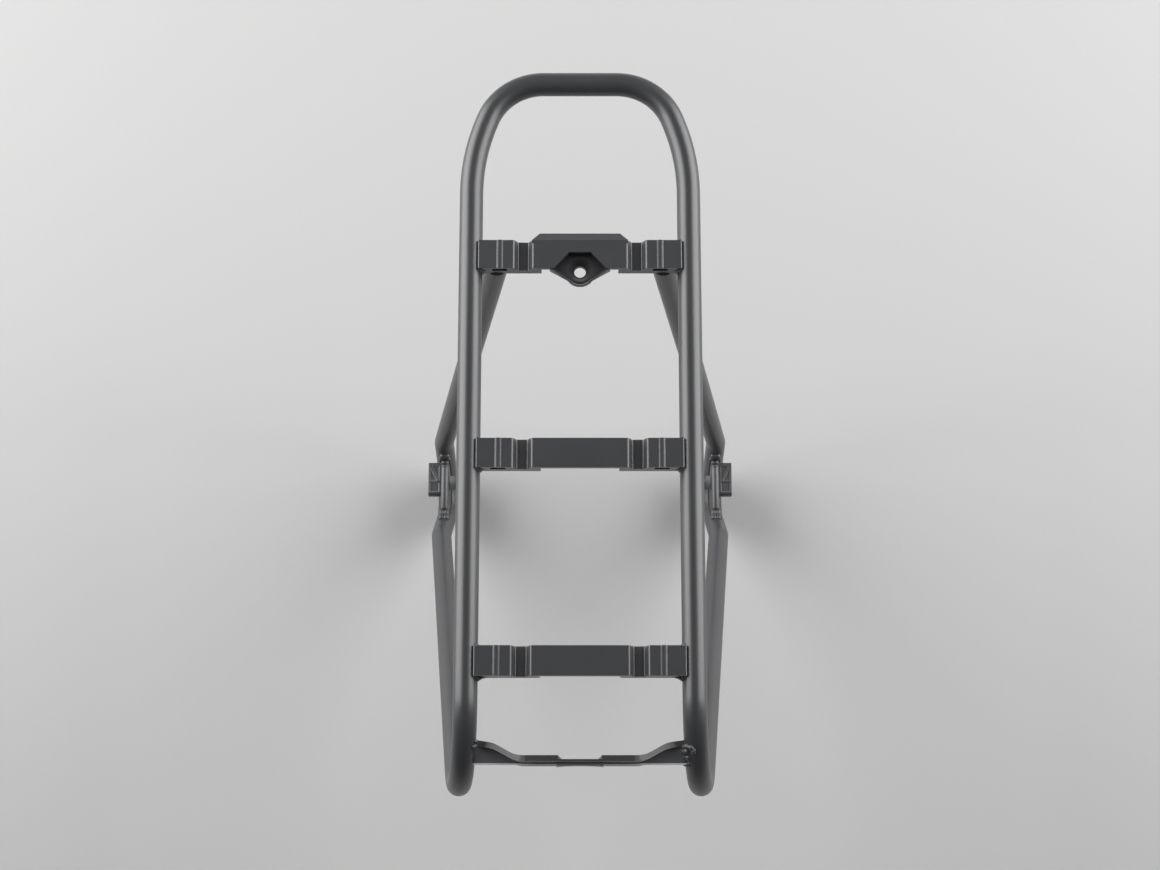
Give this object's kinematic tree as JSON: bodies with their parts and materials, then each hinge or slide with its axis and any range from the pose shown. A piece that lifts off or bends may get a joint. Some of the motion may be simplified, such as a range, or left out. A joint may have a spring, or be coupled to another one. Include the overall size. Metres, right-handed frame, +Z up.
{
  "type": "bicycle luggage rack",
  "caption": "Rear bicycle luggage rack: bent tube hoop with V-shaped feet, slotted crossbars, a rear light bracket and bolted foot mounts.",
  "frame": {"origin": "on the ground under the middle of the deck, at the bottom centre of the bounding box", "axes": "+X to the bicycle's right, +Y forward towards the loop end, +Z up; the deck is level"},
  "size_m": [0.2222, 0.431, 0.3756],
  "materials": {
    "tube_paint": "satin dark grey powder coat",
    "bar_paint": "satin dark grey powder coat on a casting",
    "bracket_paint": "satin dark grey powder coat on bent sheet",
    "plate_paint": "satin dark grey powder coat",
    "block_paint": "satin dark grey powder coat on a casting",
    "weld_paint": "satin dark grey powder coat over rippled weld",
    "bolt_steel": "dark zinc-plated steel",
    "washer_steel": "zinc-plated steel",
    "spacer_steel": "turned steel",
    "nut_steel": "zinc-plated steel"
  },
  "bodies": {
    "root": {"deck_hoop": "tube_paint", "left_front_leg": "tube_paint", "right_front_leg": "tube_paint", "front_crossbar": "bar_paint", "middle_crossbar": "bar_paint", "rear_crossbar": "bar_paint", "rear_light_bracket": "bracket_paint", "left_foot_plate": "plate_paint", "right_foot_plate": "plate_paint", "left_mount_block": "block_paint", "right_mount_block": "block_paint", "left_mount_bolt": "bolt_steel", "right_mount_bolt": "bolt_steel", "left_bolt_washer": "washer_steel", "right_bolt_washer": "washer_steel", "left_mount_spacer": "spacer_steel", "right_mount_spacer": "spacer_steel", "left_mount_nut": "nut_steel", "right_mount_nut": "nut_steel", "crossbar_welds": "weld_paint", "front_leg_welds": "weld_paint", "bracket_welds": "weld_paint", "foot_plate_welds": "weld_paint"}
  },
  "joints": []
}
